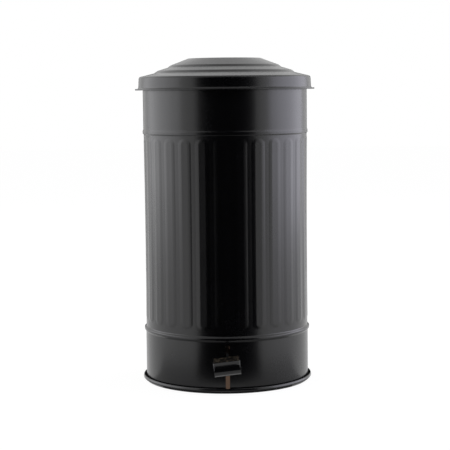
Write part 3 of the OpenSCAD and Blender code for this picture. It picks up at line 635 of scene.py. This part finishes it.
def make_body():
    """The sheet steel wall with its ribs, beads, rolled rim, slot and hinge notch."""
    half_pitch = WALL_R * PITCH / 2
    offsets = [-half_pitch] + [-spot for spot in reversed(RIB_SPOTS)] + [0] + list(RIB_SPOTS)
    columns = [(k * PITCH + s / WALL_R, s / WALL_R) for k in range(RIB_COUNT) for s in offsets]
    # Rows of the mesh: radius, height and share of the ribs' height, up the outside, round the rim and down
    rows = [(WALL_R + wall_out(z), z, 1.0) for z in steps_between(OUTER_STOPS)[:-1]]
    rows.append((WALL_R, RIM_Z - RIM_JOIN, 0.0))
    roll_middle = (WALL_R - SHEET + RIM_ROLL_R, RIM_Z)
    roll_angles = angles_between(-90, 180, RIM_ROLL_STEPS)[1:-1]
    rows += [(r, z, 0.0) for r, z in arc(roll_middle, RIM_ROLL_R, roll_angles)]
    inner_heights = steps_between(INNER_STOPS)[:-1] + [RIM_Z - INNER_JOIN]
    rows += [(WALL_R - SHEET + wall_out(z), z, INNER_RIB_SHARE) for z in reversed(inner_heights)]
    verts = []
    for plain, z, share in rows:
        for angle, offset in columns:
            r = plain + share * rib_height(offset, z)
            t = RIB_TURN + angle
            verts.append((r * math.sin(t), -r * math.cos(t), z))
    body = add_object("body_wall", verts, loop_faces(len(rows), len(columns), True), paint, PRESSED_SMOOTH)
    cut_away(body, PRESSED_SMOOTH, slot_cutter(), notch_cutter())
    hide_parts("body_shell")
    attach(body, "can")


def slot_cutter():
    """A bar with round ends through the front wall."""
    half = SLOT_W / 2
    outline = arc((SLOT_X, SLOT_TOP - half), half, angles_between(0, 180, SLOT_ARC_STEPS))
    outline += arc((SLOT_X, SLOT_LOW + half), half, angles_between(180, 360, SLOT_ARC_STEPS))
    return bar_solid("slot_cutter", outline, -WALL_R - CUT_REACH, -WALL_R + CUT_REACH, paint)


NOTCH_HALF_W = 9.5
NOTCH_LOW_Z = 447.0


def notch_cutter():
    """A box for the notch in the back wall, where the lid's bracket passes."""
    low = (-NOTCH_HALF_W, WALL_R - CUT_REACH, NOTCH_LOW_Z)
    high = (NOTCH_HALF_W, WALL_R + CUT_REACH, RIM_Z + CUT_REACH)
    return box_solid("notch_cutter", low, high, paint)


# Lid
BRIM_R = 142.2
BRIM_Z = 462.8
BRIM_ROLL_R = 1.25
BRIM_ROLL_STEPS = 14
TOP_Z = 513.0
AXIS_GAP = 0.01
LID_STEP = 7
LID_TURNS = 288
# The gap in the brim for the lid's bracket
BRACKET_GAP_HALF_W = 14.5
BRACKET_GAP_Y = 110.0
BRACKET_GAP_TOP = 468.0


def make_lid():
    """The stepped cap: one pressed sheet with a skirt, a flared brim and a wired edge."""
    outer = split_long(rounded([
        (BRIM_R - BRIM_ROLL_R, BRIM_Z + BRIM_ROLL_R, 0),
        (137.0, BRIM_Z + 2.4, 3.0),
        (136.0, 483.1, 4.0),
        (111.3, 489.2, 2.4),
        (106.4, 492.8, 1.8),
        (90.1, 497.8, 2.4),
        (85.2, 501.4, 1.8),
        (57.4, 511.9, 2.4),
        (10, TOP_Z, 10),
        (AXIS_GAP, TOP_Z, 0),
    ]), LID_STEP)
    inner = shifted(outer, SHEET)
    inner[-1] = (AXIS_GAP, TOP_Z - SHEET)
    roll_middle = (BRIM_R - BRIM_ROLL_R, BRIM_Z + BRIM_ROLL_R - SHEET / 2)
    roll = arc(roll_middle, BRIM_ROLL_R, angles_between(90, -210, BRIM_ROLL_STEPS)[1:-1])
    outline = list(reversed(outer)) + roll + inner[1:]
    lid = revolve("lid_cap", outline, LID_TURNS, paint, PRESSED_SMOOTH)
    low = (-BRACKET_GAP_HALF_W, BRACKET_GAP_Y, BRIM_Z - CUT_REACH)
    high = (BRACKET_GAP_HALF_W, BRIM_R + CUT_REACH, BRACKET_GAP_TOP)
    cut_away(lid, PRESSED_SMOOTH, box_solid("lid_cutter", low, high, paint))
    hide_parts("lid_shell")
    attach(lid, "lid")


# Base ring
RING_CORNER_STEPS = 7
RING_TURNS = 320


def make_ring():
    """The plastic foot ring with its rounded lip and the groove for the wall."""
    outline = rounded([
        (122.6, 0.0, 0.4),
        (129.8, 0.0, 1.2),
        (135.4, 4.6, 2.2),
        (134.4, 8.7, 1.4),
        (132.2, 8.7, 0.5),
        (132.2, 4.0, 0.3),
        (128.6, 4.0, 0.3),
        (128.6, 7.0, 0.5),
        (126.9, 7.0, 0.6),
        (126.9, 2.2, 0.8),
        (122.6, 2.2, 0.4),
    ], RING_CORNER_STEPS, True)
    ring = revolve("foot_ring", outline, RING_TURNS, ring_plastic)
    half = SLOT_W / 2
    hole = arc((SLOT_X, RING_NOTCH_Z + half), half, angles_between(0, 360, 2 * SLOT_ARC_STEPS)[:-1])
    cutter = bar_solid("ring_cutter", hole, -WALL_R - CUT_REACH, -WALL_R, ring_plastic)
    cut_away(ring, SMOOTH_ANGLE, cutter)
    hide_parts("base_ring")
    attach(ring, "can")


# Pedal
PAD_W = 41.3
PAD_LEAN = math.radians(6.5)
NOSE_R = 10.0
NOSE_Z = 46.0
PAD_TOP_Z = NOSE_Z + NOSE_R
PAD_BACK_Y = -137.5
PAD_RISE = 2.6
PAD_T = 1.5
PAD_SHIFT = -1.3
PAD_NARROWING = 0.03
PAD_LIP = 7.5
PLATE_FRONT_Z = 57.1
NOSE_FOLD_Y = -166.6
# The nose from its fold down: radius, and the angle above the level where each arc ends
NOSE_ARCS = ((1.5, 52.0), (26.0, 36.0), (9.0, -22.0), (15.3, -90.0))
NOSE_STEPS = 12
# The rim at each end of the pad: distance from the end, and how far the face lies in there
PAD_INSET = 0.5
PAD_RIM = ((0.0, 0.3), (0.12, 0.08), (0.35, 0.0), (0.9, 0.0), (1.15, 0.12), (1.35, PAD_INSET - 0.06),
           (1.6, PAD_INSET))
PAD_RIM_W = PAD_RIM[-1][0]
PAD_BACK_SHARE = 0.3


def leaned(point):
    """Leans a point of the pad about the middle line of its top plate."""
    x, y, z = point
    c, s = math.cos(PAD_LEAN), math.sin(PAD_LEAN)
    return (PAD_SHIFT + x * c - (z - PAD_TOP_Z) * s, y, PAD_TOP_Z + x * s + (z - PAD_TOP_Z) * c)


def plate_z(y):
    """Height of the pad's top plate, which rises to the back."""
    back_z = PAD_TOP_Z + PAD_RISE
    return PLATE_FRONT_Z + (back_z - PLATE_FRONT_Z) * (y - NOSE_FOLD_Y) / (PAD_BACK_Y - NOSE_FOLD_Y)


def nose_points():
    """Points (y, z) down the pad's outer face, each with its outward direction."""
    tilt = math.degrees(math.atan2(plate_z(PAD_BACK_Y) - PLATE_FRONT_Z, PAD_BACK_Y - NOSE_FOLD_Y))
    angle = 90 - tilt
    y, z = NOSE_FOLD_Y, plate_z(NOSE_FOLD_Y)
    a = math.radians(angle)
    u, v = -math.cos(a), math.sin(a)
    points = [(PAD_BACK_Y, plate_z(PAD_BACK_Y), u, v), (y, z, u, v)]
    for radius, end in NOSE_ARCS:
        for _ in range(NOSE_STEPS):
            turn = math.radians((angle - end) / NOSE_STEPS)
            y -= radius * turn * math.sin(a - turn / 2)
            z -= radius * turn * math.cos(a - turn / 2)
            a -= turn
            points.append((y, z, -math.cos(a), math.sin(a)))
        angle = end
    points.append((y + PAD_LIP, z, 0.0, -1.0))
    return points


def pad_outline(inset):
    """The pad's section in (y, z), its outer face set in by inset, and by less at the back edge."""
    points = nose_points()
    outer = [(points[0][0], points[0][1] - inset * PAD_BACK_SHARE)]
    outer += [(y - inset * u, z - inset * v) for y, z, u, v in points[1:]]
    inner = [(y - PAD_T * u, z - PAD_T * v) for y, z, u, v in reversed(points[1:])]
    return outer + inner + [(PAD_BACK_Y, points[0][1] - PAD_T)]


def narrowed(x, z):
    """The pad is a little narrower at its lower edge."""
    return x * (1 - PAD_NARROWING * max(0.0, PAD_TOP_Z - z) / (2 * NOSE_R))


def make_pad():
    """The rolled-nose pad, its two ends turned up into fine rims."""
    half = PAD_W / 2
    stations = [(-half + x, inset) for x, inset in PAD_RIM]
    middle = [(-half + PAD_RIM_W + (PAD_W - 2 * PAD_RIM_W) * i / 4, PAD_INSET) for i in (1, 2, 3)]
    stations += middle + [(-x, inset) for x, inset in reversed(stations)]
    verts = []
    for x, inset in stations:
        verts += [leaned((narrowed(x, z), y, z)) for y, z in pad_outline(inset)]
    count = len(pad_outline(0))
    faces = loop_faces(len(stations), count)
    faces.append(tuple(range(count)))
    faces.append(tuple(range(len(verts) - 1, len(verts) - count - 1, -1)))
    pad = add_object("tread_pad", verts, faces, gloss, smooth_angle=38)
    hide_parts("pedal_pad")
    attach(pad, "pedal")


GRIT_EDGE = 1.5
GRIT_FRONT = 0.4
GRIT_BACK = 1.0
GRIT_SUNK = 0.12
GRAIN_LOW = 0.25
GRAIN_SPREAD = 0.5
GRIT_COLUMNS = 78
GRIT_ROWS = 50
GRIT_SEED = 7


def make_grip_strip():
    """The grit strip: a thin sheet with a ragged, grainy face."""
    rng = random.Random(GRIT_SEED)
    half = PAD_W / 2 - GRIT_EDGE
    y0 = NOSE_FOLD_Y + GRIT_FRONT
    y1 = PAD_BACK_Y - GRIT_BACK
    verts = []
    for grainy in (False, True):
        for j in range(GRIT_ROWS + 1):
            for i in range(GRIT_COLUMNS + 1):
                x = -half + 2 * half * i / GRIT_COLUMNS
                y = y0 + (y1 - y0) * j / GRIT_ROWS
                inside = 0 < i < GRIT_COLUMNS and 0 < j < GRIT_ROWS
                rise = GRAIN_LOW + GRAIN_SPREAD * rng.random() if grainy and inside else 0.0
                verts.append(leaned((x, y, plate_z(y) - GRIT_SUNK + rise)))
    width = GRIT_COLUMNS + 1
    size = width * (GRIT_ROWS + 1)
    faces = []
    for j in range(GRIT_ROWS):
        for i in range(GRIT_COLUMNS):
            a = j * width + i
            faces.append((a, a + width, a + width + 1, a + 1))
            faces.append((size + a, size + a + 1, size + a + width + 1, size + a + width))
    border = list(range(width))
    border += [j * width + GRIT_COLUMNS for j in range(1, GRIT_ROWS + 1)]
    border += [GRIT_ROWS * width + i for i in range(GRIT_COLUMNS - 1, -1, -1)]
    border += [j * width for j in range(GRIT_ROWS - 1, 0, -1)]
    for a, b in zip(border, border[1:] + border[:1]):
        faces.append((a, b, size + b, size + a))
    strip = add_object("grit_strip", verts, faces, grit, smooth_angle=60)
    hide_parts("pad_grip")
    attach(strip, "pedal")


make_body()
make_lid()
make_ring()
make_pad()
make_grip_strip()

# The other nodes, each with its material and the width of its softened edges
for node, material, width in (
    ("pedal_lever", lever_paint, 0.35),
    ("hinge_bracket", paint, 0.3),
    ("hinge_rivets", paint, 0.15),
    ("hinge_pin", zinc, 0.25),
    ("hinge_clip", zinc, 0.12),
    ("lid_bracket", paint, 0.25),
    ("lid_buffers", rubber, 0.3),
    ("lift_rod", zinc, 0.3),
    ("rod_top_pin", zinc, 0.25),
    ("rod_foot_pin", zinc, 0.25),
    ("rod_clips", zinc, 0.12),
    ("rod_guides", zinc, 0.2),
    ("pivot_bracket", zinc, 0.2),
    ("pivot_rivets", zinc, 0.15),
    ("pivot_pin", zinc, 0.25),
    ("pivot_clip", zinc, 0.12),
    ("pivot_bush", nylon, 0.15),
    ("bail_grip", grip_plastic, 0.8),
    ("bail_wire", zinc, 0.15),
    ("shelf", galvanised, 0.15),
    ("bucket", bucket_plastic, 0.3),
):
    softened(node, material, width)


# Studio helpers, all in metres
def sum_sockets(tree, *sockets):
    """The sum of the sockets, held to 1."""
    total = sockets[0]
    for socket in sockets[1:]:
        add = tree.nodes.new("ShaderNodeMath")
        add.operation = "ADD"
        add.use_clamp = True
        tree.links.new(total, add.inputs[0])
        tree.links.new(socket, add.inputs[1])
        total = add.outputs[0]
    return total


def seen_rays(tree):
    """1 for camera, glossy and transmission rays, 0 for the others."""
    path = tree.nodes.new("ShaderNodeLightPath")
    kinds = ("Is Camera Ray", "Is Glossy Ray", "Is Transmission Ray")
    return sum_sockets(tree, *[path.outputs[kind] for kind in kinds])


def stage_material(name, colour, shown=1.0, strength=1.0):
    """A stage finish that camera, glossy and transmission rays see at an even strength."""
    material = bpy.data.materials.new(name)
    material.use_nodes = True
    tree = material.node_tree
    tree.nodes.clear()
    output = tree.nodes.new("ShaderNodeOutputMaterial")
    diffuse = tree.nodes.new("ShaderNodeBsdfDiffuse")
    diffuse.inputs["Color"].default_value = (*colour, 1)
    glow = tree.nodes.new("ShaderNodeEmission")
    glow.inputs["Color"].default_value = (*colour, 1)
    glow.inputs["Strength"].default_value = strength
    mix = tree.nodes.new("ShaderNodeMixShader")
    tree.links.new(diffuse.outputs[0], mix.inputs[1])
    tree.links.new(glow.outputs[0], mix.inputs[2])
    tree.links.new(mix.outputs[0], output.inputs["Surface"])
    part = tree.nodes.new("ShaderNodeMath")
    part.operation = "MULTIPLY"
    part.inputs[1].default_value = shown
    tree.links.new(seen_rays(tree), part.inputs[0])
    tree.links.new(part.outputs[0], mix.inputs[0])
    return material


def stage_sheet(name, corners, material):
    """A flat stage piece with the given corners."""
    mesh = bpy.data.meshes.new(name)
    mesh.from_pydata(corners, [], [tuple(range(len(corners)))])
    obj = bpy.data.objects.new(name, mesh)
    bpy.context.scene.collection.objects.link(obj)
    mesh.materials.append(material)
    return obj


def card(name, corners, material):
    """A stage sheet that only glossy reflections see."""
    obj = stage_sheet(name, corners, material)
    obj.visible_camera = False
    obj.visible_diffuse = False
    obj.visible_shadow = False
    obj.visible_transmission = False


def level_corners(x0, x1, y0, y1, z):
    """The corners of a level rectangle."""
    return [(x0, y0, z), (x1, y0, z), (x1, y1, z), (x0, y1, z)]


def upright_corners(half, y, z0, z1):
    """The corners of an upright rectangle that faces the front."""
    return [(-half, y, z0), (half, y, z0), (half, y, z1), (-half, y, z1)]


def axis_arc(radius, start, end, count, z):
    """Points round the can's axis, at angles in degrees from its front."""
    angles = angles_between(start, end, count)
    return [(radius * math.sin(a), AXIS_Y - radius * math.cos(a), z) for a in angles]


# Floor, and a brown disc under the open base, seen through the slot, that glows at a fixed level: painted
# light standing for the dimly lit floor under the can
FLOOR_SIDE = 9.0
FLOOR_SHOWN = 0.85
FLOOR_STRENGTH = 1.09
WHITE = (1.0, 1.0, 1.0)
BROWN = (0.0782, 0.0513, 0.0369)
BROWN_R = 0.121
BROWN_STEPS = 64
BROWN_Z = 0.0006

stage_sheet("floor", level_corners(-FLOOR_SIDE, FLOOR_SIDE, -FLOOR_SIDE, FLOOR_SIDE, 0),
            stage_material("floor_white", WHITE, FLOOR_SHOWN, FLOOR_STRENGTH))
# Painted light: this brown disc glows, standing for the dim floor inside the base
stage_sheet("under_floor_glow", axis_arc(BROWN_R, 0, 360, BROWN_STEPS, BROWN_Z)[:-1],
            stage_material("brown_floor_glow", BROWN))
card_black = stage_material("card_black", (0.0, 0.0, 0.0))

# Painted shade: cards that only reflections see make the floor close in front of the can darker in the
# paint's reflections, where the can shades it, and darkest in the shade under the ring's lip
NEAR_FLOOR_SHADE = (0.44, 0.44, 0.44)
NEAR_R = 0.34
NEAR_TURN = 85
NEAR_STEPS = 48
NEAR_Z = 0.0004
RIM_FLOOR_SHADE = (0.07, 0.07, 0.07)
RIM_FLOOR_OUT = 0.1368
RIM_FLOOR_IN = 0.1215
RIM_TURN = 50
RIM_STEPS = 32
RIM_FLOOR_Z = 0.0009

near_corners = axis_arc(NEAR_R, -NEAR_TURN, NEAR_TURN, NEAR_STEPS, NEAR_Z)
card("near_floor_shade", near_corners, stage_material("near_floor_shade", NEAR_FLOOR_SHADE))
rim_corners = axis_arc(RIM_FLOOR_OUT, -RIM_TURN, RIM_TURN, RIM_STEPS, RIM_FLOOR_Z)
rim_corners += axis_arc(RIM_FLOOR_IN, RIM_TURN, -RIM_TURN, RIM_STEPS, RIM_FLOOR_Z)
card("rim_floor_shade", rim_corners, stage_material("rim_floor_shade", RIM_FLOOR_SHADE))

# Painted highlight: a lighter patch under the pad, that only reflections see, mirrored by the underside of
# its nose as a bright line
PAD_FLOOR_HIGHLIGHT = (0.8, 0.8, 0.8)
PAD_FLOOR_HALF = 0.03
PAD_FLOOR_FRONT = -0.1385
PAD_FLOOR_BACK = -0.121
PAD_FLOOR_Z = 0.0008

pad_corners = level_corners(-PAD_FLOOR_HALF, PAD_FLOOR_HALF, PAD_FLOOR_FRONT, PAD_FLOOR_BACK, PAD_FLOOR_Z)
card("pad_floor_highlight", pad_corners, stage_material("pad_floor_highlight", PAD_FLOOR_HIGHLIGHT))

# Dark cards that the satin paint mirrors in front and behind, and a grey ceiling
CARD_LEFT = math.tan(math.radians(37))
CARD_RIGHT = math.tan(math.radians(41))
CARD_FRONT = -0.95
CARD_NEAR = -0.19
CARD_LOW = 0.001
NEAR_TAPER = 0.02
CARD_TOP = 1.2
CEILING_Z = 1.7
CEILING_BACK = 0.45
CEILING = (0.6, 0.6, 0.6)


def front_line(y, z, taper=0.0):
    """The left and right ends of the dark cards at a place y and a height z, moved inwards by a taper."""
    away = AXIS_Y - y
    return [(taper - away * CARD_LEFT, y, z), (away * CARD_RIGHT - taper, y, z)]


def between(low, high):
    """The corners of a card between two lines."""
    return [low[0], low[1], high[1], high[0]]


card("front_card", between(front_line(CARD_FRONT, 0), front_line(CARD_FRONT, CARD_TOP)), card_black)
near_line = front_line(CARD_NEAR, CARD_LOW, NEAR_TAPER)
card("floor_card", between(front_line(CARD_FRONT, CARD_LOW), near_line), card_black)
ceiling_line = front_line(CARD_FRONT, CEILING_Z)
ceiling_back = [(x, CEILING_BACK, CEILING_Z) for x, _, _ in ceiling_line]
card("ceiling_card", between(ceiling_line, ceiling_back), stage_material("ceiling_grey", CEILING))

# A small dark card above the pedal, mirrored by the pad's upper bend
PAD_CARD_HALF = 0.16
PAD_CARD_Y = -0.457
PAD_CARD_LOW = 0.46
PAD_CARD_TOP = 0.84
# A dark card behind the can
BACK_CARD_HALF = 0.5
BACK_CARD_Y = 1.3
BACK_CARD_TOP = 0.7

card("pad_card", upright_corners(PAD_CARD_HALF, PAD_CARD_Y, PAD_CARD_LOW, PAD_CARD_TOP), card_black)
card("back_card", upright_corners(BACK_CARD_HALF, BACK_CARD_Y, 0, BACK_CARD_TOP), card_black)


# Lamps and world
MIDDLE = (0, AXIS_Y, 0.26)
LAMP_H = 1.9
# The right side is lit a little cooler, as in the photograph
LEFT_TINT = (1.0, 1.0, 1.04)
RIGHT_TINT = (0.99, 0.98, 1.14)
WORLD_FILL = 0.45


def soft_lamp(name, place, width, radiance, tint):
    """A large soft lamp of the given brightness that points at the middle of the can."""
    data = bpy.data.lights.new(name, "AREA")
    data.shape = "RECTANGLE"
    data.size = width
    data.size_y = LAMP_H
    data.energy = radiance * math.pi * width * LAMP_H
    data.color = tint
    lamp = bpy.data.objects.new(name, data)
    lamp.location = place
    lamp.rotation_euler = (Vector(MIDDLE) - Vector(place)).to_track_quat("-Z", "Y").to_euler()
    bpy.context.scene.collection.objects.link(lamp)


def make_world():
    """A white world that camera and reflections see in full, and that lights the scene less."""
    world = bpy.data.worlds.new("world")
    bpy.context.scene.world = world
    world.use_nodes = True
    tree = world.node_tree
    background = tree.nodes["Background"]
    background.inputs["Color"].default_value = (1, 1, 1, 1)
    strength = tree.nodes.new("ShaderNodeMapRange")
    strength.inputs["To Min"].default_value = WORLD_FILL
    strength.inputs["To Max"].default_value = 1.0
    tree.links.new(seen_rays(tree), strength.inputs["Value"])
    tree.links.new(strength.outputs["Result"], background.inputs["Strength"])


for name, place, width, radiance, tint in (
    ("left_lamp", (-2.3, 0.32, 0.9), 3.4, 1.0, LEFT_TINT),
    ("left_core", (-2.2, 0.5, 0.9), 1.9, 0.35, LEFT_TINT),
    ("right_lamp", (2.3, 0.35, 0.9), 3.5, 1.5, RIGHT_TINT),
    ("right_core", (2.2, 0.35, 0.9), 2.0, 0.4, RIGHT_TINT),
):
    soft_lamp(name, place, width, radiance, tint)
make_world()
